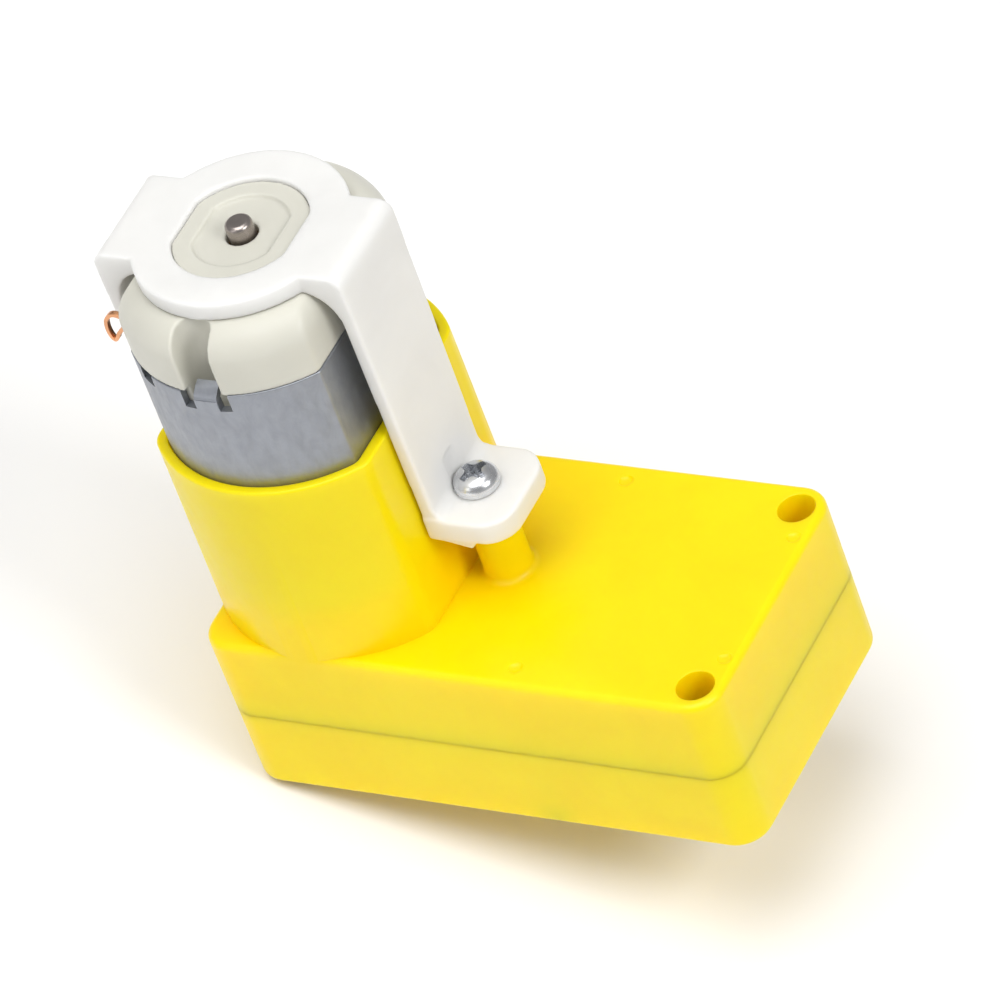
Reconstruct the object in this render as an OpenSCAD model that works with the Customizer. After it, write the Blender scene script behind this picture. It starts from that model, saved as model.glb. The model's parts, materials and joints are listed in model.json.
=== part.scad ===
// Offset geared dc motor: a flat two-part gearbox with a small can motor standing on it.
// Origin: axis of the output shaft, at the gearbox's bottom face. +Z points towards the motor's
// rear end, and +X towards the end with the two mounting holes.

/* [Gearbox] */
// Length of the gearbox along X
box_l = 41.5; // [41.2:0.1:42]
// Width of the gearbox along Y
box_w = 22.3; // [22.3:0.1:23]
// Height of the gearbox along Z
box_h = 14; // [14:0.1:14.6]
// Height of the joint between base and cover
split_z = 6.9; // [6.7:0.1:7.2]
// Thickness of the side walls
wall = 1.6; // [1.5:0.05:1.7]
// Thickness of the floor and of the ceiling
skin = 1.6; // [1.4:0.05:1.6]
// Radius of the upright corners
corner_r = 2.4; // [2:0.1:2.6]
// Radius of the outer top and bottom edges
edge_r = 0.5; // [0.3:0.1:0.6]
// Distance between the two mounting holes
mount_pitch = 17.6; // [17.4:0.1:17.7]
// Distance from the output shaft to the mounting holes
mount_x = 9.05; // [8.9:0.05:9.1]
// Diameter of the mounting holes
mount_d = 2.8; // [2.6:0.1:3]

/* [Motor sleeve] */
// Height of the sleeve above the gearbox
sleeve_h = 16.2; // [15:0.1:17]
// Width of the sleeve across its flats, at its foot
sleeve_flat = 17.6; // [17.4:0.1:17.7]
// Amount each sleeve face leans in from foot to rim
sleeve_draft = 0.1; // [0.05:0.05:0.15]

/* [Motor] */
// Diameter of the motor can
can_d = 20.4; // [20.2:0.1:20.4]
// Width of the motor can across its flats
can_flat = 15.4; // [15.2:0.1:15.4]
// Length of the motor can
can_l = 20.1; // [20:0.1:20.3]
// Height of the motor's front face above the gearbox
motor_lift = 4.65; // [4.5:0.05:4.8]
// Thickness of the sheet of the can
can_t = 0.6; // [0.5:0.05:0.65]
// Height of the end cap above the can's rim
cap_h = 4.95; // [4.8:0.05:5]
// Diameter of the motor shaft
shaft_d = 2; // [1.9:0.1:2]

/* [Strap] */
// Width of the strap's arms at the lug
strap_w = 7.7; // [7.2:0.1:8]
// Width of the strap's arms at the ring
strap_top_w = 8.4; // [7.7:0.1:9]
// Thickness of the strap
strap_t = 1.1; // [1:0.05:1.2]
// Outer diameter of the ring on top of the motor
ring_d = 15.9; // [15.4:0.1:16.2]
// Height of the strap's lug above the gearbox
lug_z = 8.1; // [8:0.05:8.2]

/* [Gears] */
// Gear module
gear_m = 0.5; // [0.5]
// Teeth on the motor pinion
pinion_n = 9; // [9]
// Teeth on the wheel that the motor pinion drives
first_n = 34; // [34]
// Teeth on the small gear of each idler
small_n = 10; // [10]
// Teeth on the other wheels
large_n = 33; // [33]
// Width of each wheel's teeth
wheel_w = 1.8; // [1.6:0.1:1.8]
// Diameter of the idler pins
pin_d = 2; // [1.9:0.1:2]

/* [Output shaft] */
// Length of the shaft below the gearbox
out_l = 9; // [8:0.1:10]
// Diameter of the shaft
out_d = 5.4; // [5.3:0.05:5.4]
// Width of the shaft across its two flats
out_flat = 3.7; // [3.6:0.05:3.8]
// Diameter of the screw hole in the shaft's end
out_hole_d = 1.9; // [1.8:0.1:2]

/* [Hidden] */
$fn = 64;

// Overlap that lets one cut or joint run past another face
eps = 0.01;
// Radial clearance of a running fit
run_gap = 0.05;
// Gap between pieces that lie side by side
side_gap = 0.05;

// Gearbox places
box_x1 = box_w / 2;
box_x0 = box_x1 - box_l;
gear_cd = gear_m * (pinion_n + first_n) / 2;
idler_x = -gear_cd;
motor_x = -2 * gear_cd;
ceiling_z = box_h - skin;
lip_h = 1;
lip_t = wall / 2;
pin_grip = 0.9;
post_r = 2.2;

// Case screws: two at the motor end, two between the wheels
screw_places = [[-27.6, 8.4], [-27.6, -8.4], [-4.9, 9.1], [-4.9, -9.1]];
case_screw_r = 0.85;
case_screw_l = 9;
case_head_r = 1.6;
case_head_h = 1.1;
case_boss_r = 1.75;
mount_boss_r = mount_d / 2 + 1;

// Shallow moulding marks on the cover
marks = [[10.1, 6], [10.1, -6], [-4.9, 9.4], [-4.9, -9.4]];
mark_r = 0.55;
mark_depth = 0.2;

// Motor heights
can_z0 = box_h + motor_lift;
can_z1 = can_z0 + can_l;
cap_z1 = can_z1 + cap_h;
rim_z = box_h + sleeve_h;
nose_r = 3.1;
nose_h = 1.6;
bushing_r = 2.5;
shaft_r = shaft_d / 2;
shaft_z0 = 8.3;
shaft_z1 = can_z1 + 7;
shaft_dome = 0.4;
skirt_h = 2.15;
bearing_gap = 0.03;
bushing_h = 2.1;
rear_bushing_z = cap_z1 - 2.2;
cap_boss_r = 5;
cap_boss_flat = 9.1;
cap_boss_h = 1.2;
cap_crown = 2.3;
cap_flat_r = 1.4;
groove_r = 1.45;
groove_y = 8.9;
terminal_t = 0.25;
terminal_y = 5.9;
terminal_z = can_z1 + 1.6;
leg_x = 6.1;
stub_x = can_flat / 2 + 0.6;

// Armature, from the middle of the can outwards
core_z = can_z0 + 4.4;
core_h = 8;
core_r = 6.55;
shoe_t = 0.85;
pole_w = 1.8;
coil_w = 4.2;
coil_l = 2.3;
pocket_gap = 0.05;

// Strap places
strap_z0 = cap_z1 + side_gap;
strap_z1 = strap_z0 + 1.45;
bend_out_r = 1.1;
bend_in_r = 2.8;
arm_in = sleeve_flat / 2 + 0.15;
arm_out = arm_in + strap_t;
lug_top = box_h + lug_z;
lug_t = 1.85;
lug_half = 4;
lug_end = 15.5;
lug_corner_r = 2.4;
lug_z0 = lug_top - lug_t;
lug_block = [[0, 0.5], [0, -0.1], [3.2, -0.75], [3.9, 0], [3.9, 0.5]];
web_r = 0.7;
boss_x = 11.6;
boss_r = 1.8;
boss_foot = 0.5;
boss_top = lug_z0 - side_gap;
strap_screw_r = 0.85;
strap_head_r = 1.7;
strap_head_h = 1.35;
strap_dome_r = 2.1;
catch_z = box_h + 5;
arm_foot = box_h + 3.6;
catch_w = 3.6;
catch_h = 2;

// Gear heights, from the output wheel at the bottom to the first wheel at the top
out_gear_z = 3.1;
out_gear_w = 2.3;
third_z = 5.6;
second_z = 7.8;
first_z = 10;
small_over = 0.1;
tooth_shift = 0.45;
tooth_addendum = 0.9;
tooth_dedendum = 1.25;
tooth_slack = 0.05;
pressure = 20;
bore_r = pin_d / 2 + run_gap;

// Output shaft
journal_r = 3.5;
flange_r = 4.6;
key_r = 2.9;
key_flat = 4.4;

// Colours
yellow = "#f2d300";
nylon = "#f4f4ef";
ivory = "#dedccb";
zinc = "#9aa0a8";
steel = "#8d8f92";
bright = "#c9ccd0";
copper = "#b06a36";
bronze = "#9c7a45";
brass = "#c9a646";
ferrite = "#3a3a3c";
gear_white = "#ece9dc";
carbon = "#303030";

// ---- Shared shapes ----

// Plate with upright round corners, from x0 to x1, centred on Y
module round_plate(x0, x1, w, h, r) {
    translate([x0 + r, -w / 2, 0]) cube([x1 - x0 - 2 * r, w, h]);
    translate([x0, -w / 2 + r, 0]) cube([x1 - x0, w - 2 * r, h]);
    for (x = [x0 + r, x1 - r], y = [-1, 1])
        translate([x, y * (w / 2 - r), 0]) cylinder(r = r, h = h);
}

// Rectangle standing on the X axis, whose upper corners are round
module crowned(x0, x1, h, e) {
    translate([x0, 0]) square([x1 - x0, h - e]);
    translate([x0 + e, 0]) square([x1 - x0 - 2 * e, h]);
    translate([x0 + e, h - e]) circle(r = e);
    translate([x1 - e, h - e]) circle(r = e);
}

// The same plate with a round upper edge
module soft_plate(x0, x1, w, h, r, e) {
    translate([x0 + r, 0, 0]) rotate([90, 0, 90])
        linear_extrude(x1 - x0 - 2 * r) crowned(-w / 2, w / 2, h, e);
    translate([0, w / 2 - r, 0]) rotate([90, 0, 0])
        linear_extrude(w - 2 * r) crowned(x0, x1, h, e);
    for (x = [x0 + r, x1 - r], y = [-1, 1])
        translate([x, y * (w / 2 - r), 0]) rotate_extrude()
            intersection() {
                crowned(-r, r, h, e);
                square([r, h]);
            }
}

// Round bar with two flats facing X
module flatted(r, flat, h) {
    intersection() {
        cylinder(r = r, h = h);
        translate([-flat / 2, -r - 1, 0]) cube([flat, 2 * r + 2, h]);
    }
}

// Flatted bar whose faces lean in by d on the way up
module flatted_draft(r, flat, h, d) {
    intersection() {
        cylinder(r1 = r, r2 = r - d, h = h);
        translate([0, r + 1, 0]) rotate([90, 0, 0]) linear_extrude(2 * r + 2)
            polygon([[-flat / 2, 0], [flat / 2, 0], [flat / 2 - d, h], [-flat / 2 + d, h]]);
    }
}

// Concave ring that blends an upright boss of radius r into a flat
module foot_blend(r, f) {
    rotate_extrude() difference() {
        translate([r - 0.2, 0]) square([f + 0.2, f]);
        translate([r + f, f]) circle(r = f);
    }
}

// Tube
module tube(ro, ri, h) {
    difference() {
        cylinder(r = ro, h = h);
        translate([0, 0, -1]) cylinder(r = ri, h = h + 2);
    }
}

// ---- Involute gears ----

function involute(a) = tan(a) - a * PI / 180;
function flank_half(n, x, r) =
    let(base = gear_m * n / 2 * cos(pressure), a = acos(base / max(r, base)))
    90 / n + (2 * x * tan(pressure) / n + involute(pressure) - involute(a)) * 180 / PI
    - tooth_slack / (gear_m * n) * 180 / PI;
function polar(r, a) = [r * cos(a), r * sin(a)];

// Outline of a gear of n teeth with profile shift x; one tooth points to angle turn
function gear_outline(n, x, turn) =
    let(
        root = gear_m * (n / 2 - tooth_dedendum + x),
        tip = gear_m * (n / 2 + tooth_addendum + x),
        base = gear_m * n / 2 * cos(pressure),
        start = max(root + 0.08, base),
        steps = 4,
        radii = [for (i = [0:steps]) start + (tip - start) * i / steps]
    )
    [for (k = [0:n - 1]) let(mid = turn + k * 360 / n) each concat(
        [polar(root, mid - flank_half(n, x, start))],
        [for (i = [0:steps]) polar(radii[i], mid - flank_half(n, x, radii[i]))],
        [for (i = [steps:-1:0]) polar(radii[i], mid + flank_half(n, x, radii[i]))],
        [polar(root, mid + flank_half(n, x, start))]
    )];

module gear(n, x, turn, h) {
    linear_extrude(h) polygon(gear_outline(n, x, turn));
}

// Idler gear: small gear, wheel above or below it, and a hub
module idler(small_z0, small_z1, wheel_z, wheel_n, turn, top) {
    difference() {
        union() {
            translate([0, 0, small_z0]) gear(small_n, tooth_shift, 0, small_z1 - small_z0);
            translate([0, 0, wheel_z]) gear(wheel_n, -tooth_shift, turn, wheel_w);
            translate([0, 0, wheel_z]) cylinder(r = 1.9, h = top - wheel_z);
        }
        translate([0, 0, small_z0 - 1]) cylinder(r = bore_r, h = 20);
        difference() {
            translate([0, 0, wheel_z + wheel_w - 0.4]) cylinder(r = 6.6, h = 1);
            cylinder(r = 3.4, h = 20);
        }
    }
}

// ---- Gearbox ----

// Holes that run through both halves
module mount_holes() {
    for (y = [-1, 1])
        translate([mount_x, y * mount_pitch / 2, -1]) cylinder(r = mount_d / 2, h = box_h + 2);
}

module hollow(z0, z1) {
    translate([0, 0, z0])
        round_plate(box_x0 + wall, box_x1 - wall, box_w - 2 * wall, z1 - z0, corner_r - wall / 2);
}

// Bosses and posts common to both halves
module inner_posts(z0, z1) {
    for (y = [-1, 1])
        translate([mount_x, y * mount_pitch / 2, z0]) cylinder(r = mount_boss_r, h = z1 - z0);
    for (p = screw_places)
        translate([p[0], p[1], z0]) cylinder(r = case_boss_r, h = z1 - z0);
}

module gearbox_base() {
    color(yellow) difference() {
        union() {
            difference() {
                mirror([0, 0, 1]) translate([0, 0, -split_z])
                    soft_plate(box_x0, box_x1, box_w, split_z, corner_r, edge_r);
                hollow(skin, split_z + 1);
            }
            difference() {
                translate([0, 0, split_z - 1]) round_plate(
                    box_x0 + lip_t, box_x1 - lip_t, box_w - 2 * lip_t, 1 + lip_h, corner_r - lip_t / 2);
                hollow(split_z - 1.5, split_z + 3);
            }
            intersection() {
                inner_posts(skin - 0.5, split_z);
                round_plate(box_x0 + edge_r, box_x1 - edge_r, box_w - 2 * edge_r, box_h, corner_r - edge_r);
            }
            translate([idler_x, 0, skin - 0.5]) cylinder(r = post_r, h = 1.7);
            translate([0, 0, skin - 0.5]) cylinder(r = flange_r, h = 0.9);
        }
        translate([0, 0, -1]) cylinder(r = journal_r + run_gap, h = 6);
        translate([idler_x, 0, skin - pin_grip]) cylinder(r = pin_d / 2, h = 6);
        mount_holes();
        for (p = screw_places) translate([p[0], p[1], 0]) {
            translate([0, 0, -1]) cylinder(r = case_screw_r + 0.1, h = 10);
            translate([0, 0, -1]) cylinder(r = case_head_r + 0.1, h = 1 + case_head_h + 0.15);
        }
    }
}

// Sleeve round the motor, with its floor
module sleeve() {
    translate([motor_x, 0, box_h - 1])
        flatted_draft(box_w / 2, sleeve_flat, sleeve_h + 1, sleeve_draft);
}

module sleeve_hollow() {
    translate([motor_x, 0, 0]) {
        translate([0, 0, can_z0])
            flatted(can_d / 2 + pocket_gap, can_flat + 2 * pocket_gap, sleeve_h + 2);
        translate([0, 0, ceiling_z - 1]) flatted(8.6, 13, can_z0 - 2.2 - ceiling_z + 1);
        translate([0, 0, can_z0 - 4]) cylinder(r = nose_r + 0.1, h = 6);
    }
}

// Wedge that the strap's left arm snaps over
module strap_catch() {
    translate([motor_x - sleeve_flat / 2, catch_w / 2, catch_z]) rotate([90, 0, 0])
        linear_extrude(catch_w) polygon([[0.4, 0], [-1.1, 0], [-1.1, 0.5], [0.4, catch_h]]);
}

module gearbox_cover() {
    color(yellow) difference() {
        union() {
            difference() {
                translate([0, 0, split_z])
                    soft_plate(box_x0, box_x1, box_w, box_h - split_z, corner_r, edge_r);
                hollow(split_z - 1, ceiling_z);
            }
            intersection() {
                inner_posts(split_z + 0.02, box_h - 0.5);
                round_plate(box_x0 + edge_r, box_x1 - edge_r, box_w - 2 * edge_r, box_h, corner_r - edge_r);
            }
            translate([0, 0, 9.95]) cylinder(r = 1.65, h = ceiling_z - 9.95 + 0.5);
            sleeve();
            strap_catch();
            translate([motor_x + boss_x, 0, box_h - 0.5]) cylinder(r = boss_r, h = boss_top - box_h + 0.5);
            translate([motor_x + boss_x, 0, box_h]) foot_blend(boss_r, boss_foot);
        }
        sleeve_hollow();
        translate([0, 0, split_z - eps]) difference() {
            round_plate(box_x0 + lip_t - side_gap, box_x1 - lip_t + side_gap,
                box_w - 2 * lip_t + 2 * side_gap, lip_h + side_gap, corner_r - lip_t / 2);
            translate([0, 0, -1])
                round_plate(box_x0 + wall, box_x1 - wall, box_w - 2 * wall, 4, corner_r - wall / 2);
        }
        for (x = [0, idler_x]) translate([x, 0, 8]) cylinder(r = pin_d / 2, h = ceiling_z + pin_grip - 8);
        mount_holes();
        for (p = screw_places)
            translate([p[0], p[1], split_z - 1]) cylinder(r = case_screw_r, h = 4.3);
        translate([motor_x + boss_x, 0, box_h + 0.6]) cylinder(r = strap_screw_r, h = 10);
        for (p = marks) translate([p[0], p[1], box_h - mark_depth]) cylinder(r = mark_r, h = 1);
    }
}

module cross_recess(r, depth) {
    for (a = [0, 90]) rotate([0, 0, a])
        translate([-r, -r * 0.28, -depth]) cube([2 * r, r * 0.56, depth + 1]);
}

module case_screws() {
    color(zinc) for (p = screw_places) translate([p[0], p[1], 0]) mirror([0, 0, 1])
        difference() {
            union() {
                translate([0, 0, -case_head_h]) cylinder(r = case_head_r, h = case_head_h - 0.1);
                translate([0, 0, -case_screw_l]) cylinder(r = case_screw_r, h = case_screw_l - 0.5);
            }
            translate([0, 0, -0.1]) cross_recess(0.9, 0.7);
        }
}

// ---- Strap ----

// Side view of the strap's band, with its bends rounded outside and inside
module strap_band() {
    difference() {
        union() {
            translate([-arm_out, arm_foot]) square([2 * arm_out, strap_z1 - bend_out_r - arm_foot]);
            translate([-arm_out + bend_out_r, strap_z0 - 3])
                square([2 * (arm_out - bend_out_r), strap_z1 - strap_z0 + 3]);
            for (x = [-1, 1])
                translate([x * (arm_out - bend_out_r), strap_z1 - bend_out_r]) circle(r = bend_out_r);
        }
        translate([-arm_in, 0]) square([2 * arm_in, strap_z0 - bend_in_r]);
        translate([-arm_in + bend_in_r, 0]) square([2 * (arm_in - bend_in_r), strap_z0]);
        for (x = [-1, 1])
            translate([x * (arm_in - bend_in_r), strap_z0 - bend_in_r]) circle(r = bend_in_r);
        translate([arm_in - 1, 0]) square([9, lug_z0 - 0.1]);
    }
}

module motor_strap() {
    color(nylon) translate([motor_x, 0, 0]) difference() {
        union() {
            translate([0, 0, strap_z0]) cylinder(r = ring_d / 2, h = strap_z1 - strap_z0);
            // bridge over the cap and the two arms, which widen from the lug up to the ring
            intersection() {
                translate([0, strap_top_w, 0]) rotate([90, 0, 0]) linear_extrude(2 * strap_top_w)
                    strap_band();
                translate([-arm_out - 1, 0, 0]) rotate([90, 0, 90]) linear_extrude(2 * arm_out + 2)
                    polygon([
                        [-strap_w / 2, 0], [strap_w / 2, 0], [strap_w / 2, lug_top],
                        [strap_top_w / 2, cap_z1], [strap_top_w / 2, strap_z1 + 1],
                        [-strap_top_w / 2, strap_z1 + 1], [-strap_top_w / 2, cap_z1],
                        [-strap_w / 2, lug_top]
                    ]);
            }
            // lug with round corners, thicker below where it leaves the arm
            translate([0, 0, lug_z0]) intersection() {
                round_plate(arm_in - lug_corner_r, lug_end, 2 * lug_half, lug_t, lug_corner_r);
                translate([arm_in, -lug_half, -1]) cube([lug_end, 2 * lug_half, lug_t + 2]);
            }
            translate([arm_in, strap_w / 2, lug_z0]) rotate([90, 0, 0]) linear_extrude(strap_w)
                polygon(lug_block);
            // web where the arm turns into the lug
            translate([arm_out, strap_w / 2, lug_top]) rotate([90, 0, 0]) linear_extrude(strap_w)
                difference() {
                    translate([-0.2, -0.2]) square(web_r + 0.2);
                    translate([web_r, web_r]) circle(r = web_r);
                }
        }
        translate([0, 0, strap_z0 - 1]) flatted(cap_boss_r + 0.1, cap_boss_flat + 0.2, 5);
        translate([boss_x, 0, 0]) cylinder(r = boss_r + 0.15, h = lug_z0);
        translate([boss_x, 0, lug_top - 4]) cylinder(r = strap_screw_r + 0.15, h = 12);
        translate([boss_x, 0, lug_top]) cylinder(r = strap_head_r + 0.1, h = 3);
        translate([-arm_out - 1, -catch_w / 2 - 0.1, catch_z - 0.05]) cube([3, catch_w + 0.2, catch_h + 0.1]);
    }
}

module strap_screw() {
    color(bright) translate([motor_x + boss_x, 0, 0]) difference() {
        union() {
            translate([0, 0, lug_top]) rotate_extrude() intersection() {
                translate([0, strap_head_h - strap_dome_r]) circle(r = strap_dome_r);
                square([strap_head_r, strap_head_h]);
            }
            translate([0, 0, lug_top - 6.4]) cylinder(r = strap_screw_r, h = 6.5);
        }
        translate([0, 0, lug_top + strap_head_h]) cross_recess(1, 0.75);
    }
}

// ---- Motor, the parts that stand still ----

// Slots in the rim beside each bent tab, and one further round
module rim_slots() {
    for (turn = [0, 180]) rotate([0, 0, turn]) {
        translate([-1.9, -11, can_z1 - 1.3]) cube([3.8, 3, 2]);
        translate([-6.1, -9.8, can_z1 - 1]) cube([1.3, 3.4, 2]);
    }
}

module motor_can() {
    color(zinc) translate([motor_x, 0, 0]) {
        difference() {
            union() {
                translate([0, 0, can_z0]) flatted(can_d / 2, can_flat, can_l);
                translate([0, 0, can_z0 - nose_h]) cylinder(r = nose_r, h = nose_h + 1);
            }
            translate([0, 0, can_z0 + can_t]) flatted(can_d / 2 - can_t, can_flat - 2 * can_t, can_l);
            translate([0, 0, can_z0 - nose_h + 0.4]) cylinder(r = bushing_r, h = 4);
            translate([0, 0, can_z0 - nose_h - 1]) cylinder(r = 1.4, h = 4);
            rim_slots();
        }
        for (turn = [0, 180]) rotate([0, 0, turn])
            translate([-0.9, -can_d / 2 + 0.08, can_z1 - 1.55]) rotate([-38, 0, 0]) cube([1.8, can_t - 0.1, 1.6]);
    }
}

// Side profile of the cap, from its axis outwards
module cap_profile() {
    r = can_d / 2 - 0.05;
    translate([0, can_z1]) square([r, cap_h - cap_crown]);
    translate([0, can_z1]) square([r - cap_crown, cap_h]);
    intersection() {
        translate([r - cap_crown, cap_z1 - cap_crown]) circle(r = cap_crown);
        translate([r - cap_crown, cap_z1 - cap_crown]) square(cap_crown);
    }
}

module end_cap() {
    color(ivory) translate([motor_x, 0, 0]) difference() {
        union() {
            intersection() {
                rotate_extrude() cap_profile();
                translate([0, 12, can_z1]) rotate([90, 0, 0]) linear_extrude(24)
                    crowned(-can_flat / 2 + 0.05, can_flat / 2 - 0.05, cap_h, cap_flat_r);
            }
            translate([0, 0, can_z1 - skirt_h])
                flatted(can_d / 2 - can_t - side_gap, can_flat - 2 * can_t - 2 * side_gap, skirt_h + 0.5);
            translate([0, 0, cap_z1 - 0.5]) flatted(cap_boss_r, cap_boss_flat, 0.5 + cap_boss_h);
        }
        // room for the brushes, with a solid pad behind each groove
        translate([0, 0, can_z1 - skirt_h - 1]) difference() {
            flatted(8, 12.4, skirt_h + 1 + cap_h - 1.6);
            for (y = [-1, 1]) translate([0, y * (groove_y - 0.4), skirt_h / 2 + 4])
                cube([2 * groove_r + 1.8, 4, skirt_h + 6], center = true);
        }
        translate([0, 0, rear_bushing_z - 1]) cylinder(r = bushing_r, h = bushing_h + 1);
        translate([0, 0, cap_z1 - 1]) cylinder(r = shaft_r + 0.2, h = 3);
        translate([0, 0, cap_z1 + cap_boss_h - 0.3]) flatted(3.6, 6.2, 2);
        for (turn = [0, 180]) rotate([0, 0, turn]) {
            translate([0, -groove_y, can_z1 - 2]) cylinder(r = groove_r, h = 12);
            translate([-groove_r, -groove_y - 4, can_z1 - 2]) cube([2 * groove_r, 4, 12]);
            // slot and pocket for the terminal
            translate([-9, -terminal_y - 0.25, terminal_z - 0.25]) cube([3.5, 0.5, 1.25]);
            translate([-6.3, -terminal_y - 0.25, terminal_z - 0.25]) cube([0.7, 1.5, 1.25]);
        }
    }
}

module front_bushing() {
    color(bronze) translate([motor_x, 0, can_z0 - nose_h + 0.4])
        tube(bushing_r, shaft_r + bearing_gap, 1.8);
}

module rear_bushing() {
    color(bronze) translate([motor_x, 0, rear_bushing_z])
        tube(bushing_r, shaft_r + bearing_gap, bushing_h);
}

module field_magnets() {
    color(ferrite) translate([motor_x, 0, can_z0 + 2.5])
        for (turn = [45, 225]) rotate([0, 0, turn])
            rotate_extrude(angle = 90) translate([7.1, 0]) square([2.45, 12.5]);
}

// Spring strip that presses the two magnets apart
module magnet_spring() {
    color(steel) translate([motor_x, 0, can_z0 + 5]) {
        translate([6.8, -4.6, 0]) cube([0.25, 9.2, 7]);
        for (y = [-1, 1]) translate([6.45, y * 4.6 - 0.12, 0]) cube([0.6, 0.24, 7]);
    }
}

// Upright loop at the outer end of a terminal
module terminal_loop() {
    loop_x = -9.2;
    loop_r = 0.5;
    loop_z = [can_z1 + 0.65, can_z1 + 2.35];
    slot_r = loop_r - 0.22;
    difference() {
        union() {
            for (z = loop_z) translate([loop_x, z]) circle(r = loop_r);
            translate([loop_x - loop_r, loop_z[0]]) square([2 * loop_r, loop_z[1] - loop_z[0]]);
            translate([loop_x, terminal_z]) square([1, 0.75]);
        }
        for (z = loop_z) translate([loop_x, z]) circle(r = slot_r);
        translate([loop_x - slot_r, loop_z[0]]) square([2 * slot_r, loop_z[1] - loop_z[0]]);
    }
}

// Terminal: outer end, leg through the cap's slot, riser and spring arm
module brush_terminal(turn, loop) {
    outer_x = loop ? 8.9 : stub_x;
    color(copper) translate([motor_x, 0, 0]) rotate([0, 0, turn]) {
        translate([0, -terminal_y, 0]) rotate([90, 0, 0]) linear_extrude(terminal_t, center = true) {
            if (loop) terminal_loop();
            translate([-outer_x, terminal_z]) square([outer_x - 5.85, 0.75]);
        }
        translate([-leg_x, -terminal_y - terminal_t / 2, terminal_z]) cube([terminal_t, 1.2, 0.75]);
        translate([-leg_x, -5, can_z1 - 1.2]) cube([terminal_t, 1.58, 3.55]);
        translate([-leg_x, -3.45, can_z1 - 1.2]) cube([7.4, 0.2, 2]);
    }
}

module brush_terminal_left() brush_terminal(0, true);
module brush_terminal_right() brush_terminal(180, false);

module carbon_brushes() {
    color(carbon) translate([motor_x, 0, 0]) for (turn = [0, 180]) rotate([0, 0, turn])
        translate([-0.9, -3.25, can_z1 - 1]) cube([1.8, 0.8, 1.6]);
}

// ---- Motor, the parts that spin ----

module motor_shaft() {
    color(steel) translate([motor_x, 0, 0]) {
        translate([0, 0, shaft_z0]) cylinder(r = shaft_r, h = shaft_z1 - shaft_z0 - shaft_dome);
        // round upper end
        translate([0, 0, shaft_z1 - shaft_dome]) rotate_extrude() intersection() {
            union() {
                square([shaft_r - shaft_dome, shaft_dome]);
                translate([shaft_r - shaft_dome, 0]) circle(r = shaft_dome);
            }
            square([shaft_r, shaft_dome]);
        }
    }
}

// Pole with the wide shoe that faces the magnets
module pole(w, h) {
    translate([0, -w / 2, 0]) cube([6, w, h]);
    intersection() {
        tube(core_r, core_r - shoe_t, h);
        linear_extrude(h) polygon([[0, 0], polar(12, -50), [14, 0], polar(12, 50)]);
    }
}

module armature_core() {
    color(steel) translate([motor_x, 0, core_z]) difference() {
        union() {
            cylinder(r = 2.5, h = core_h);
            for (a = [0, 120, 240]) rotate([0, 0, a]) pole(pole_w, core_h);
        }
        translate([0, 0, -1]) cylinder(r = shaft_r, h = core_h + 2);
    }
}

module armature_windings() {
    color(copper) translate([motor_x, 0, core_z]) for (a = [0, 120, 240]) rotate([0, 0, a])
        difference() {
            translate([2.9, 0, 0]) rotate([0, 90, 0]) rotate([0, 0, 90]) linear_extrude(coil_l)
                translate([0, core_h / 2]) {
                    square([coil_w, core_h + 1], center = true);
                    square([coil_w - 1.6, core_h + 2.6], center = true);
                    for (x = [-1, 1], y = [-1, 1])
                        translate([x * (coil_w / 2 - 0.8), y * (core_h / 2 + 0.5)]) circle(r = 0.8);
                }
            translate([0, -pole_w / 2, 0]) cube([7, pole_w, core_h]);
        }
}

module commutator() {
    color(copper) translate([motor_x, 0, can_z1 - 3.6]) for (a = [0, 120, 240])
        rotate([0, 0, a + 3]) rotate_extrude(angle = 114) translate([1.7, 0]) square([0.7, 5]);
}

module commutator_hub() {
    color(nylon) translate([motor_x, 0, can_z1 - 4.6]) {
        tube(1.7, shaft_r, 6.2);
        tube(2.9, shaft_r, 0.95);
    }
}

module rotor_washers() {
    color(nylon) translate([motor_x, 0, 0]) {
        translate([0, 0, can_z0 + 1]) tube(1.8, shaft_r, 0.8);
        translate([0, 0, rear_bushing_z - 1]) tube(1.8, shaft_r, 0.9);
    }
}

module motor_pinion() {
    color(brass) translate([motor_x, 0, 8.5]) difference() {
        gear(pinion_n, tooth_shift, 0, 5);
        translate([0, 0, -1]) cylinder(r = shaft_r, h = 8);
    }
}

// ---- Gear train ----

module idler_pin() {
    color(steel) translate([idler_x, 0, skin - pin_grip])
        cylinder(r = pin_d / 2, h = ceiling_z + 2 * pin_grip - skin);
}

module output_pin() {
    color(steel) translate([0, 0, 2.8]) cylinder(r = pin_d / 2, h = ceiling_z + pin_grip - 2.8);
}

module idler_washer() {
    color(bronze) translate([idler_x, 0, skin + 1.22]) tube(2, bore_r, 0.3);
}

module first_gear() {
    color(gear_white) translate([idler_x, 0, 0])
        idler(first_z - wheel_w - 0.45, first_z + eps, first_z, first_n, 180 / first_n, ceiling_z - 0.15);
}

module second_gear() {
    color(gear_white)
        idler(third_z - small_over, second_z + eps, second_z, large_n, 0, second_z + wheel_w + 0.25);
}

module third_gear() {
    color(gear_white) translate([idler_x, 0, 0])
        idler(out_gear_z + 0.1, third_z + eps, third_z, large_n, 180 / large_n, third_z + wheel_w + 0.1);
}

module output_gear() {
    color(gear_white) difference() {
        translate([0, 0, out_gear_z]) gear(large_n, -tooth_shift, 0, out_gear_w);
        translate([0, 0, out_gear_z - 1]) flatted(key_r, key_flat, 6);
        difference() {
            translate([0, 0, out_gear_z + out_gear_w - 0.5]) cylinder(r = 6.6, h = 1);
            cylinder(r = 4.2, h = 20);
        }
    }
}

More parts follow.
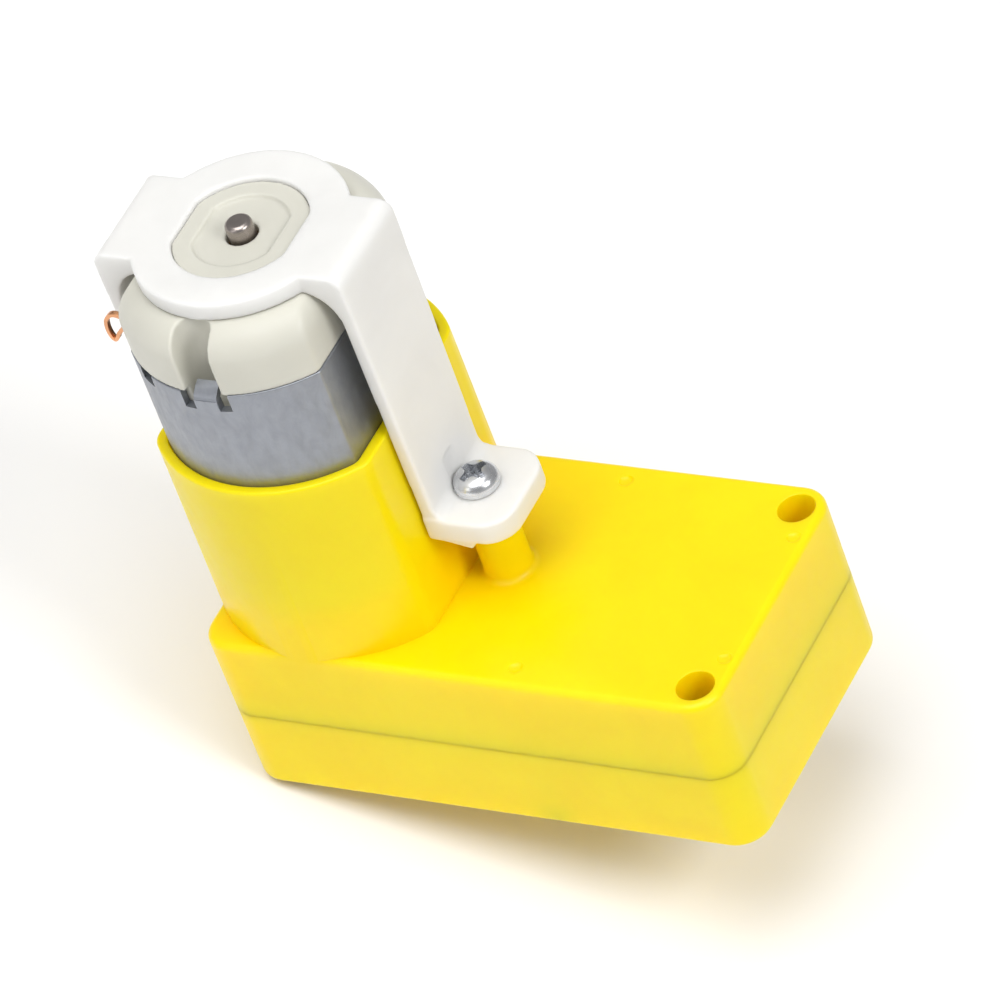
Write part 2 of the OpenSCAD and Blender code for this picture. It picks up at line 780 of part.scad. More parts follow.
module output_shaft() {
    color(nylon) difference() {
        union() {
            translate([0, 0, -out_l + 0.4]) flatted(out_d / 2, out_flat, out_l);
            translate([0, 0, -out_l]) intersection() {
                cylinder(r1 = out_d / 2 - 0.4, r2 = out_d / 2, h = 0.4 + eps);
                translate([-out_flat / 2, -5, 0]) cube([out_flat, 10, 1]);
            }
            translate([0, 0, -0.4]) cylinder(r = journal_r, h = 2.9);
            translate([0, 0, skin + 0.45]) cylinder(r = flange_r - 0.2, h = out_gear_z - skin - 0.45);
            translate([0, 0, 2]) flatted(key_r, key_flat, out_gear_z + out_gear_w - 2);
        }
        translate([0, 0, -out_l - 1]) cylinder(r = out_hole_d / 2, h = 8);
        translate([0, 0, 2.6]) cylinder(r = bore_r, h = 6);
    }
}

gearbox_base();
gearbox_cover();
case_screws();
motor_strap();
strap_screw();
motor_can();
end_cap();
front_bushing();
rear_bushing();
field_magnets();
magnet_spring();
brush_terminal_left();
brush_terminal_right();
carbon_brushes();
motor_shaft();
armature_core();
armature_windings();
commutator();
commutator_hub();
rotor_washers();
motor_pinion();
idler_pin();
output_pin();
idler_washer();
first_gear();
second_gear();
third_gear();
output_gear();
output_shaft();
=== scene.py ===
"""Geared dc motor: surfaces, materials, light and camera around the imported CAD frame."""

import json
import math

import bpy
from mathutils import Matrix, Vector


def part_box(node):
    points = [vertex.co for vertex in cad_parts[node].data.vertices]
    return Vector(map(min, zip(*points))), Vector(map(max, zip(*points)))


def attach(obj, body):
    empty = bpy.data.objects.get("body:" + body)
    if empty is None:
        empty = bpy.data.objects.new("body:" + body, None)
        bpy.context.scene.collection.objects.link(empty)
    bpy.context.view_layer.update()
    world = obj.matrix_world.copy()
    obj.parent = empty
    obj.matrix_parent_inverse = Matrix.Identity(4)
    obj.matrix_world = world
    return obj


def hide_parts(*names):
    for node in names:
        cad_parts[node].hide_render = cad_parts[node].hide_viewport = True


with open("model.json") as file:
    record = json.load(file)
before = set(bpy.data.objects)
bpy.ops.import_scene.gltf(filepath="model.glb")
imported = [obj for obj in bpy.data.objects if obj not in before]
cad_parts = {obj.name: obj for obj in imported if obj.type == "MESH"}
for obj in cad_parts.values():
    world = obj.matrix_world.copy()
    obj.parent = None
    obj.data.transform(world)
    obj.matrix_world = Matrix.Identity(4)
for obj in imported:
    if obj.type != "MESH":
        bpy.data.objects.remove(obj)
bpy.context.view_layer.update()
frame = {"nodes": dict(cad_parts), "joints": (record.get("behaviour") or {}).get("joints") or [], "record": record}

# Shapes are drawn in millimetres and brought to metres when a piece is finished
MM = 0.001
BODY = "housing"
NODES = frame["nodes"]


def joint_place(name):
    """Where a joint's axis stands, in millimetres."""
    joint = next(j for j in frame["joints"] if j["name"] == name)
    return Vector(joint["pos_m"]) / MM


def mount_place(name):
    """Where a mount is, in millimetres."""
    mount = next(m for m in frame["record"]["mounts"] if m["name"] == name)
    return Vector(mount["pos_m"]) / MM, mount["dims"]


def box_mm(node):
    lo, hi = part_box(node)
    return Vector(lo) / MM, Vector(hi) / MM


# ---- Places that the frame gives ----
BASE_LO, BASE_HI = box_mm("gearbox_base")
COVER_LO, COVER_HI = box_mm("gearbox_cover")
CAN_LO, CAN_HI = box_mm("motor_can")
CAP_LO = box_mm("end_cap")[0]
STRAP_LO, STRAP_HI = box_mm("motor_strap")
SCREW_LO, SCREW_HI = box_mm("strap_screw")
SHAFT_LO = box_mm("output_shaft")[0]
MOTOR_X = joint_place("motor_spin").x
IDLER_X = joint_place("first_spin").x
MOUNTS, MOUNT_DIMS = mount_place("mounting_holes")

# ---- Gearbox sizes ----
BOX_X0, BOX_X1 = BASE_LO.x, BASE_HI.x
BOX_HALF = BASE_HI.y
SPLIT_Z = COVER_LO.z
BOX_TOP = 2 * MOUNTS.z
RIM_Z = COVER_HI.z
CORNER_R = 2.4
EDGE_R = 0.55
SEAM_R = 0.014
WALL = 1.6
SKIN = 1.6
LIP_H = 1.0
LIP_GAP = 0.03
POST_WALL = 1.0
CASE_POST_R = 1.75
CASE_HEAD_R = 1.7
CASE_HEAD_DEPTH = 0.95
CASE_BORE_R = 0.95
CASE_THREAD_R = 0.85
PIN_R = 1.0
SHAFT_HOLE_R = 3.55
MARK_R = 0.55
MARK_DEPTH = 0.2
MOUNT_R = MOUNT_DIMS["hole_r_mm"]
MOUNT_Y = MOUNT_DIMS["spacing_y_mm"] / 2
CASE_SCREWS = [(-27.6, 8.4), (-27.6, -8.4), (-4.9, 9.1), (-4.9, -9.1)]
MARKS = [(10.1, 6.0), (10.1, -6.0), (-4.9, 9.4), (-4.9, -9.4)]

# ---- Sleeve ----
SLEEVE_R = BOX_HALF
SLEEVE_FLAT = 8.8
SLEEVE_SOFT = 1.9
SLEEVE_DRAFT = 0.1
RIM_ROUND = 0.22
POCKET_SOFT = 0.9
CATCH_Z = 19
CATCH_HALF = 1.8

# ---- Motor ----
CAN_R = CAN_HI.y
CAN_FLAT = CAN_HI.x - MOTOR_X
CAN_SOFT = 0.4
CAN_T = 0.6
CAN_TOP = CAP_LO.z + 2.15
CAP_TOP = STRAP_HI.z - 1.5
CAN_FOOT = CAN_LO.z + 1.6

# ---- Strap ----
RING_R = 7.95
RING_HOLE_R = 5.03
RING_HOLE_FLAT = 4.58
STRAP_HALF = 3.85
STRAP_TOP_HALF = 4.2
STRAP_T = 1.1
BEND_OUT_R = 1.1
BEND_IN_R = 2.8
ARM_IN = 8.95
ARM_OUT = ARM_IN + STRAP_T
RING_TOP = STRAP_HI.z
RING_FOOT = RING_TOP - 1.45
LUG_X = (SCREW_LO.x + SCREW_HI.x) / 2
LUG_END = STRAP_HI.x
LUG_HALF = 4.0
LUG_CORNER_R = 2.4
LUG_TOP = SCREW_HI.z - 1.35
LUG_T = 1.85
WEB_R = 0.9
BLOCK = [(0, 0.5), (0, -0.1), (3.2, -0.75), (3.9, 0.05), (3.9, 0.5)]
BOSS_R = 1.8
BOSS_FOOT = 0.5
HEAD_R = (SCREW_HI.x - SCREW_LO.x) / 2
CROSS_REACH = 1.12
CROSS_HALF = 0.33
CROSS_DEPTH = 1.15
CROSS_TURN = 65
CAP_CROWN = 2.3
CAP_SOFT = 0.9
CAP_BOSS_R = 5.0
CAP_BOSS_FLAT = 4.55
CAP_BOSS_H = 1.2
FLAT_R = 1.2
GROOVE_R = 1.45
GROOVE_Y = 8.9


# ---- Mesh tools ----
def arc(cx, cy, r, start, end, steps):
    """Points on a circle from one angle to another, in degrees."""
    turns = [math.radians(start + (end - start) * i / steps) for i in range(steps + 1)]
    return [(cx + r * math.cos(t), cy + r * math.sin(t)) for t in turns]


def box_outline(x0, x1, half, r, inset=0.0, steps=10):
    """Rectangle with round corners, drawn in by inset."""
    x0, x1, half, r = x0 + inset, x1 - inset, half - inset, max(r - inset, 0.05)
    corners = [(x1 - r, half - r), (x0 + r, half - r), (x0 + r, r - half), (x1 - r, r - half)]
    return [p for k, (cx, cy) in enumerate(corners) for p in arc(cx, cy, r, 90 * k, 90 * k + 90, steps)]


def flat_outline(cx, r, flat, soft, inset=0.0, soft_steps=8, round_steps=44):
    """Circle about (cx, 0) with two flats facing X and soft corners, drawn in by inset."""
    side, height = flat - soft, math.sqrt((r - soft) ** 2 - (flat - soft) ** 2)
    turn = math.degrees(math.atan2(height, side))
    r, soft = r - inset, max(soft - inset, 0.03)
    points = arc(cx + side, height, soft, 0, turn, soft_steps)
    points += arc(cx, 0, r, turn, 180 - turn, round_steps)[1:-1]
    points += arc(cx - side, height, soft, 180 - turn, 180, soft_steps)
    points += arc(cx - side, -height, soft, 180, 180 + turn, soft_steps)
    points += arc(cx, 0, r, 180 + turn, 360 - turn, round_steps)[1:-1]
    points += arc(cx + side, -height, soft, 360 - turn, 360, soft_steps)
    return points


def wall_rings(z0, z1, low=0.0, high=0.0, steps=6):
    """Pairs of inset and height up a wall whose lower and upper edges are round."""
    turns = [math.pi / 2 * i / steps for i in range(steps + 1)]
    rings = [(low * (1 - math.sin(t)), z0 + low * (1 - math.cos(t))) for t in turns] if low else [(0, z0)]
    top = [(high * (1 - math.cos(t)), z1 - high + high * math.sin(t)) for t in turns] if high else [(0, z1)]
    rings += top
    return rings


def solid(name, verts, faces):
    mesh = bpy.data.meshes.new(name)
    mesh.from_pydata(verts, [], faces)
    mesh.validate()
    obj = bpy.data.objects.new(name, mesh)
    bpy.context.scene.collection.objects.link(obj)
    return obj


def loft(name, rings):
    """Closed solid through rings of (outline, z), from the lowest up."""
    n = len(rings[0][0])
    verts = [(x, y, z) for outline, z in rings for x, y in outline]
    last = (len(rings) - 1) * n
    faces = [tuple(reversed(range(n))), tuple(range(last, last + n))]
    for k in range(len(rings) - 1):
        for i in range(n):
            j = (i + 1) % n
            faces.append((k * n + i, k * n + j, (k + 1) * n + j, (k + 1) * n + i))
    return solid(name, verts, faces)


def lathe(name, cx, cy, profile, steps=48):
    """Solid of revolution about an upright axis, through (radius, z) from the lowest up."""
    return loft(name, [(arc(cx, cy, r, 0, 360, steps)[:-1], z) for r, z in profile])


def extrude_y(name, outline, y0, y1):
    """Prism along Y of an outline in X and Z, given anticlockwise as seen from -Y."""
    n = len(outline)
    verts = [(x, y0, z) for x, z in outline] + [(x, y1, z) for x, z in outline]
    faces = [tuple(range(n)), tuple(reversed(range(n, 2 * n)))]
    faces += [(i, i + n, (i + 1) % n + n, (i + 1) % n) for i in range(n)]
    return solid(name, verts, faces)


def block(name, lo, hi):
    outline = [(lo[0], lo[1]), (hi[0], lo[1]), (hi[0], hi[1]), (lo[0], hi[1])]
    return loft(name, [(outline, lo[2]), (outline, hi[2])])


def settle(obj):
    """Applies the object's modifiers to its mesh."""
    graph = bpy.context.evaluated_depsgraph_get()
    mesh = bpy.data.meshes.new_from_object(obj.evaluated_get(graph))
    obj.modifiers.clear()
    obj.data = mesh
    return obj


def combine(obj, others, operation):
    """Joins or cuts obj with each of the others, which are used up."""
    for other in others:
        step = obj.modifiers.new("step", "BOOLEAN")
        step.operation, step.object, step.solver = operation, other, "EXACT"
    settle(obj)
    for other in others:
        bpy.data.objects.remove(other)
    return obj


def join(obj, *others):
    return combine(obj, others, "UNION")


def cut(obj, *others):
    return combine(obj, others, "DIFFERENCE")


def soften(obj, voxel, passes, faces):
    """Turns a hard solid into a smooth moulded one: fine remesh, then smoothing, then fewer faces."""
    remesh = obj.modifiers.new("remesh", "REMESH")
    remesh.mode, remesh.voxel_size, remesh.adaptivity = "VOXEL", voxel, 0.0
    smooth = obj.modifiers.new("smooth", "SMOOTH")
    smooth.factor, smooth.iterations = 0.5, passes
    settle(obj)
    thin = obj.modifiers.new("thin", "DECIMATE")
    thin.ratio = min(1.0, faces / max(1, len(obj.data.polygons)))
    return settle(obj)


def present(obj, body, slot, material, *replaced, crease=32.0):
    """Brings a piece to metres, shades it and gives it its body and material."""
    mesh = obj.data
    mesh.transform(Matrix.Scale(MM, 4))
    mesh.shade_smooth()
    mesh.set_sharp_from_angle(angle=math.radians(crease))
    mesh.materials.clear()
    mesh.materials.append(material)
    normals = obj.modifiers.new("normals", "WEIGHTED_NORMAL")
    normals.keep_sharp = True
    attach(obj, body)
    if replaced:
        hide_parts(*replaced)
    return obj


# ---- Materials ----
class Shader:
    """A Principled material, with noise and bump added by short calls."""

    def __init__(self, name, colour, roughness, metallic=0.0, **values):
        self.material = bpy.data.materials.new(name)
        self.material.use_nodes = True
        self.tree = self.material.node_tree
        self.bsdf = self.tree.nodes["Principled BSDF"]
        self.colour = (*colour, 1.0)
        self.set(Base_Color=self.colour, Roughness=roughness, Metallic=metallic, **values)
        self.place = self.tree.nodes.new("ShaderNodeTexCoord").outputs["Object"]
        self.height = None

    def set(self, **values):
        for key, value in values.items():
            self.bsdf.inputs[key.replace("_", " ")].default_value = value

    def link(self, output, target):
        self.tree.links.new(output, target)

    def stretched(self, scale=(1, 1, 1)):
        """Object coordinates in millimetres, stretched by scale."""
        node = self.tree.nodes.new("ShaderNodeMapping")
        node.inputs["Scale"].default_value = [s / MM for s in scale]
        self.link(self.place, node.inputs["Vector"])
        return node.outputs["Vector"]

    def noise(self, per_mm, detail=3.0, rough=0.5, stretch=(1, 1, 1), distortion=0.0):
        node = self.tree.nodes.new("ShaderNodeTexNoise")
        node.inputs["Scale"].default_value = per_mm
        node.inputs["Detail"].default_value = detail
        node.inputs["Roughness"].default_value = rough
        node.inputs["Distortion"].default_value = distortion
        self.link(self.stretched(stretch), node.inputs["Vector"])
        return node.outputs["Fac"]

    def cells(self, per_mm, stretch=(1, 1, 1)):
        node = self.tree.nodes.new("ShaderNodeTexVoronoi")
        node.inputs["Scale"].default_value = per_mm
        self.link(self.stretched(stretch), node.inputs["Vector"])
        return node.outputs["Distance"]

    def waves(self, per_mm, direction="Z", distortion=0.0, kind="BANDS"):
        node = self.tree.nodes.new("ShaderNodeTexWave")
        node.wave_type = kind
        if kind == "BANDS":
            node.bands_direction = direction
        else:
            node.rings_direction = direction
        node.inputs["Scale"].default_value = per_mm
        node.inputs["Distortion"].default_value = distortion
        self.link(self.stretched(), node.inputs["Vector"])
        return node.outputs["Fac"]

    def ramp(self, factor, low, high, start=0.35, end=0.65):
        node = self.tree.nodes.new("ShaderNodeValToRGB")
        ends = node.color_ramp.elements
        ends[0].position, ends[1].position = start, end
        ends[0].color = (*low, 1.0) if len(low) == 3 else low
        ends[1].color = (*high, 1.0) if len(high) == 3 else high
        self.link(factor, node.inputs["Fac"])
        return node.outputs["Color"]

    def spread(self, factor, low, high, start=0.3, end=0.7):
        node = self.tree.nodes.new("ShaderNodeMapRange")
        for key, value in (("From Min", start), ("From Max", end), ("To Min", low), ("To Max", high)):
            node.inputs[key].default_value = value
        self.link(factor, node.inputs["Value"])
        return node.outputs["Result"]

    def tint(self, factor, low, high, start=0.35, end=0.65):
        self.link(self.ramp(factor, low, high, start, end), self.bsdf.inputs["Base Color"])

    def gloss(self, factor, low, high, start=0.3, end=0.7):
        self.link(self.spread(factor, low, high, start, end), self.bsdf.inputs["Roughness"])

    def bump(self, factor, depth_mm, strength=0.5):
        node = self.tree.nodes.new("ShaderNodeBump")
        node.inputs["Strength"].default_value = strength
        node.inputs["Distance"].default_value = depth_mm * MM
        self.link(factor, node.inputs["Height"])
        if self.height:
            self.link(self.height, node.inputs["Normal"])
        self.height = node.outputs["Normal"]
        self.link(self.height, self.bsdf.inputs["Normal"])


def shade(colour, factor):
    return tuple(min(1.0, c * factor) for c in colour)


def plastic(name, colour, roughness, glow, depth_mm, grain=0.35):
    """Moulded plastic: light goes a little way in, with a faint mould texture and flow marks."""
    s = Shader(name, colour, roughness)
    s.set(Subsurface_Weight=glow, Subsurface_Scale=depth_mm * MM, Specular_IOR_Level=0.3)
    s.set(Subsurface_Radius=[0.3 + 0.7 * c for c in colour])
    s.tint(s.noise(0.12, 4, 0.55, distortion=0.6), shade(colour, 0.965), shade(colour, 1.02))
    s.gloss(s.noise(0.9, 5, 0.6), roughness * 0.85, roughness * 1.2)
    s.bump(s.noise(7.0, 3, 0.6), 0.012, grain)
    s.bump(s.noise(0.16, 2, 0.4), 0.05, grain * 0.5)
    return s.material


def zinc_plate(name, colour):
    """Zinc-plated sheet: cloudy grey-blue patches, fine draw lines and small specks."""
    s = Shader(name, colour, 0.42, 0.85)
    s.tint(s.noise(0.9, 6, 0.65, (1, 1, 0.6), 0.8), shade(colour, 0.91), shade(colour, 1.06), 0.3, 0.7)
    s.gloss(s.noise(1.8, 5, 0.6, (1, 1, 0.4)), 0.30, 0.52)
    s.bump(s.noise(6.0, 4, 0.6, (1, 1, 0.08)), 0.010, 0.5)
    s.bump(s.noise(2.2, 3, 0.5), 0.010, 0.3)
    return s.material


def turned_metal(name, colour, roughness, per_mm=9.0, stretch=(0.05, 0.05, 1)):
    """Turned or ground metal, with fine lines round its axis."""
    s = Shader(name, colour, roughness, 1.0)
    s.tint(s.noise(0.8, 4), shade(colour, 0.9), shade(colour, 1.08))
    s.gloss(s.noise(per_mm * 0.4, 4, 0.6, stretch), roughness * 0.75, roughness * 1.3)
    s.bump(s.noise(per_mm, 2, 0.5, stretch), 0.006, 0.35)
    return s.material


def sintered(name, colour):
    """Pressed powder metal: fine open pores."""
    s = Shader(name, colour, 0.5, 0.9)
    s.tint(s.cells(6.0), shade(colour, 0.55), shade(colour, 1.05), 0.05, 0.3)
    s.bump(s.cells(6.0), 0.02, 0.6)
    return s.material


def laminated(name, colour):
    """Stack of thin steel sheets, with varnish between them."""
    s = Shader(name, colour, 0.38, 0.95)
    stripes = s.waves(1.0, "Z")
    s.tint(stripes, shade(colour, 0.45), shade(colour, 1.05), 0.12, 0.35)
    s.gloss(s.noise(4.0, 4), 0.3, 0.5)
    s.bump(stripes, 0.03, 0.7)
    return s.material


def wound(name, colour):
    """Enamelled wire laid side by side, with painted shade in the grooves between turns."""
    s = Shader(name, colour, 0.25, 0.85, Coat_Weight=0.6, Coat_Roughness=0.12)
    turns = s.waves(1.3, "Z", 0.4)
    # The dark bands in the colour are painted shade in the grooves between turns; the bump gives the real relief.
    s.tint(turns, shade(colour, 0.35), shade(colour, 1.1), 0.1, 0.6)
    s.bump(turns, 0.08, 0.9)
    return s.material


def matt_block(name, colour, roughness, per_mm):
    """Ferrite or pressed carbon: dull, with a fine grain."""
    s = Shader(name, colour, roughness)
    s.tint(s.noise(per_mm, 5, 0.65), shade(colour, 0.7), shade(colour, 1.35))
    s.gloss(s.noise(per_mm * 0.5, 4), roughness * 0.85, min(1.0, roughness * 1.15))
    s.bump(s.noise(per_mm * 1.5, 4), 0.015, 0.6)
    return s.material


YELLOW = plastic("yellow_plastic", (1.0, 0.69, 0.0), 0.33, 0.65, 2.5)
STRAP_WHITE = plastic("strap_nylon", (0.76, 0.755, 0.735), 0.42, 0.6, 2.0, 0.45)
IVORY = plastic("cap_ivory", (0.61, 0.60, 0.53), 0.36, 0.35, 1.0)
GEAR_WHITE = plastic("gear_acetal", (0.86, 0.85, 0.80), 0.33, 0.35, 0.8)
ZINC = zinc_plate("can_zinc", (0.31, 0.325, 0.36))
CHROME = turned_metal("screw_bright", (0.72, 0.73, 0.75), 0.26, 14.0)
SCREW_ZINC = turned_metal("case_screw_zinc", (0.55, 0.56, 0.57), 0.32)
STEEL = turned_metal("shaft_steel", (0.36, 0.32, 0.30), 0.30)
SPRING = turned_metal("spring_steel", (0.50, 0.50, 0.52), 0.30, 6.0, (1, 1, 0.05))
BRONZE = sintered("sintered_bronze", (0.50, 0.34, 0.18))
BRASS = turned_metal("brass", (0.78, 0.57, 0.22), 0.28)
COPPER = turned_metal("copper_strip", (0.72, 0.36, 0.19), 0.30, 6.0, (1, 1, 0.2))
CORE = laminated("lamination_steel", (0.40, 0.41, 0.43))
WIRE = wound("winding_wire", (0.60, 0.23, 0.09))
FERRITE = matt_block("ferrite", (0.035, 0.035, 0.038), 0.62, 3.0)
CARBON = matt_block("carbon", (0.02, 0.02, 0.022), 0.5, 5.0)


# ---- Gearbox ----
def box_shell(name, z0, z1, low, high):
    rings = [(box_outline(BOX_X0, BOX_X1, BOX_HALF, CORNER_R, inset), z)
             for inset, z in wall_rings(z0, z1, low, high)]
    return loft(name, rings)


def inner_box(z0, z1, wall):
    outline = box_outline(BOX_X0 + wall, BOX_X1 - wall, BOX_HALF - wall, CORNER_R - wall / 2, 0, 6)
    return loft("inner", [(outline, z0), (outline, z1)])


def posts(z0, z1):
    """Bosses for the screws and the mounting holes."""
    made = [lathe("post", MOUNTS.x, y, [(MOUNT_R + POST_WALL, z0), (MOUNT_R + POST_WALL, z1)])
            for y in (-MOUNT_Y, MOUNT_Y)]
    return made + [lathe("post", x, y, [(CASE_POST_R, z0), (CASE_POST_R, z1)], 32) for x, y in CASE_SCREWS]


def hole(x, y, r, z0, z1, low=0.0, high=0.0, steps=48):
    """Cutter for a round hole whose mouths, low at z0 and high at z1, are rounded over."""
    profile = []
    turns = [math.radians(80 * i / 5) for i in range(6)]
    if low:
        profile += [(r + low * 1.3, z0 - 0.3)]
        profile += [(r + low * (1 - math.cos(t)), z0 + low * (1 - math.sin(t))) for t in reversed(turns)]
    else:
        profile += [(r, z0 - 0.3)]
    if high:
        profile += [(r + high * (1 - math.cos(t)), z1 - high * (1 - math.sin(t))) for t in turns]
        profile += [(r + high * 1.3, z1 + 0.3)]
    else:
        profile += [(r, z1 + 0.3)]
    return lathe("hole", x, y, profile, steps)


def gearbox_base():
    shell = box_shell("base_shell", BASE_LO.z, SPLIT_Z, EDGE_R, SEAM_R)
    lip = WALL / 2
    outline = box_outline(BOX_X0 + lip, BOX_X1 - lip, BOX_HALF - lip, CORNER_R - lip / 2, 0, 6)
    join(shell, loft("lip", [(outline, SPLIT_Z - 1), (outline, SPLIT_Z + LIP_H - LIP_GAP)]))
    cut(shell, inner_box(SKIN, SPLIT_Z + 3, WALL))
    held = join(*posts(SKIN - 0.5, SPLIT_Z - LIP_GAP))
    inside = box_outline(BOX_X0 + 0.5, BOX_X1 - 0.5, BOX_HALF - 0.5, CORNER_R - 0.5)
    combine(held, [loft("inside", [(inside, 0), (inside, BOX_TOP)])], "INTERSECT")
    join(shell, held, lathe("post", IDLER_X, 0, [(2.2, SKIN - 0.5), (2.2, SKIN + 1.2)]),
         lathe("post", 0, 0, [(4.6, SKIN - 0.5), (4.6, SKIN + 0.4)]))
    cuts = [hole(0, 0, SHAFT_HOLE_R, BASE_LO.z, 4, low=0.25), hole(IDLER_X, 0, PIN_R, SKIN - 0.6, 6)]
    cuts += [hole(MOUNTS.x, y, MOUNT_R, BASE_LO.z, BOX_TOP, low=0.2) for y in (-MOUNT_Y, MOUNT_Y)]
    cuts += [hole(x, y, CASE_HEAD_R, BASE_LO.z, CASE_HEAD_DEPTH, low=0.12, steps=32) for x, y in CASE_SCREWS]
    cuts += [hole(x, y, CASE_BORE_R, 0.5, 9, steps=24) for x, y in CASE_SCREWS]
    cut(shell, *cuts)
    return present(shell, BODY, "yellow_plastic", YELLOW, "gearbox_base")


def sleeve():
    rings = []
    for inset, z in wall_rings(BOX_TOP - 1.2, RIM_Z, 0, RIM_ROUND):
        lean = SLEEVE_DRAFT * max(0.0, z - BOX_TOP) / (RIM_Z - BOX_TOP)
        rings.append((flat_outline(MOTOR_X, SLEEVE_R, SLEEVE_FLAT, SLEEVE_SOFT, inset + lean), z))
    return loft("sleeve", rings)


def sleeve_pocket():
    flare = 0.18
    rings = [(0, CAN_FOOT), (0, RIM_Z - flare)]
    rings += [(-flare * (1 - math.cos(math.radians(t))), RIM_Z - flare + flare * math.sin(math.radians(t)))
              for t in (20, 40, 60, 80)]
    rings.append((-flare * 1.3, RIM_Z + 0.3))
    r, flat = CAN_R + 0.05, CAN_FLAT + 0.05
    return loft("pocket", [(flat_outline(MOTOR_X, r, flat, POCKET_SOFT, inset), z) for inset, z in rings])


def dimple(x, y, r, depth, top):
    """Cutter for a shallow round mark with a soft floor."""
    turns = [math.radians(90 * i / 5) for i in range(1, 6)]
    profile = [(r * math.sin(t), top - depth * math.cos(t)) for t in turns]
    return lathe("dimple", x, y, profile + [(r * 1.15, top + 0.2)], 28)


def boss():
    """Upright boss for the strap's screw, with a blended foot."""
    top, foot = LUG_TOP - LUG_T - 0.05, BOSS_FOOT
    turns = [math.radians(90 * i / 7) for i in range(8)]
    profile = [(BOSS_R + foot, BOX_TOP - 0.6)]
    profile += [(BOSS_R + foot * (1 - math.sin(t)), BOX_TOP + foot * (1 - math.cos(t))) for t in turns]
    profile += [(BOSS_R - 0.04, top - 0.15), (BOSS_R - 0.15, top)]
    return lathe("boss", LUG_X, 0, profile, 56)


def gearbox_cover():
    shell = box_shell("cover_shell", SPLIT_Z, BOX_TOP, SEAM_R, EDGE_R)
    cut(shell, inner_box(SPLIT_Z - 1, BOX_TOP - SKIN, WALL))
    held = join(*posts(SPLIT_Z + 0.02, BOX_TOP - 0.5))
    inside = box_outline(BOX_X0 + 0.5, BOX_X1 - 0.5, BOX_HALF - 0.5, CORNER_R - 0.5)
    combine(held, [loft("inside", [(inside, 0), (inside, BOX_TOP)])], "INTERSECT")
    catch_x = MOTOR_X - SLEEVE_FLAT
    wedge = [(catch_x + 0.5, CATCH_Z), (catch_x + 0.5, CATCH_Z + 2.1),
             (catch_x - 1.1, CATCH_Z + 0.5), (catch_x - 1.1, CATCH_Z)]
    catch = extrude_y("catch", wedge, -CATCH_HALF, CATCH_HALF)
    pin_post = lathe("post", 0, 0, [(1.65, 9.95), (1.65, BOX_TOP - SKIN + 0.5)], 32)
    join(shell, held, pin_post, sleeve(), boss(), catch)
    lip = WALL / 2 - 0.05
    groove = box_outline(BOX_X0 + lip, BOX_X1 - lip, BOX_HALF - lip, CORNER_R - lip / 2, 0, 6)
    groove = loft("groove", [(groove, SPLIT_Z - 1), (groove, SPLIT_Z + LIP_H + 0.05)])
    cut(groove, inner_box(SPLIT_Z - 2, SPLIT_Z + 3, WALL))
    hollow = flat_outline(MOTOR_X, 8.6, 6.5, 0.5)
    cuts = [groove, sleeve_pocket(), loft("hollow", [(hollow, BOX_TOP - SKIN - 1), (hollow, CAN_LO.z - 0.6)])]
    cuts += [lathe("nose", MOTOR_X, 0, [(3.2, CAN_LO.z - 2), (3.2, CAN_FOOT + 0.5)])]
    cuts += [hole(x, 0, PIN_R, 8, BOX_TOP - SKIN + 0.6, steps=24) for x in (0, IDLER_X)]
    cuts += [hole(MOUNTS.x, y, MOUNT_R, 0, BOX_TOP, high=0.06) for y in (-MOUNT_Y, MOUNT_Y)]
    cuts += [hole(x, y, CASE_THREAD_R, SPLIT_Z, SPLIT_Z + 3, steps=24) for x, y in CASE_SCREWS]
    cuts += [lathe("bore", LUG_X, 0, [(CASE_THREAD_R, BOX_TOP + 0.6), (CASE_THREAD_R, 30)], 24)]
    cuts += [dimple(x, y, MARK_R, MARK_DEPTH, BOX_TOP) for x, y in MARKS]
    cut(shell, *cuts)
    return present(shell, BODY, "yellow_plastic", YELLOW, "gearbox_cover")


# ---- Strap ----
def strap_band():
    """The band over the motor: two arms joined across the top, with round bends and a wider top."""
    def half_band(x, r, top, foot):
        return [(x, foot)] + arc(x - r, top - r, r, 0, 90, 10)

    def mirrored(points):
        return [(-x, z) for x, z in reversed(points)]
    outer = half_band(ARM_OUT, BEND_OUT_R, RING_TOP, LUG_TOP - LUG_T - 0.1)
    inner = half_band(ARM_IN, BEND_IN_R, RING_FOOT, LUG_TOP - LUG_T - 0.1)
    outer = outer + mirrored([(ARM_OUT, STRAP_LO.z)] + outer[1:])
    inner = inner + mirrored([(ARM_IN, STRAP_LO.z)] + inner[1:])
    outline = [(MOTOR_X + x, z) for x, z in outer + list(reversed(inner))]
    band = extrude_y("band", outline, -2 * STRAP_HALF, 2 * STRAP_HALF)

    def level(half, z):
        x0, x1 = MOTOR_X - ARM_OUT - 1, MOTOR_X + ARM_OUT + 1
        return ([(x0, -half), (x1, -half), (x1, half), (x0, half)], z)
    taper = loft("taper", [level(STRAP_HALF, 0), level(STRAP_HALF, LUG_TOP), level(STRAP_TOP_HALF, CAP_TOP),
                           level(STRAP_TOP_HALF, RING_TOP + 1)])
    return combine(band, [taper], "INTERSECT")


def lug_outline():
    """Plan of the lug: straight sides from the arm and round corners at its end."""
    x0, r = MOTOR_X + ARM_IN, LUG_CORNER_R
    near = arc(LUG_END - r, r - LUG_HALF, r, -90, 0, 12)
    far = arc(LUG_END - r, LUG_HALF - r, r, 0, 90, 12)
    return [(x0, -LUG_HALF)] + near + far + [(x0, LUG_HALF)]


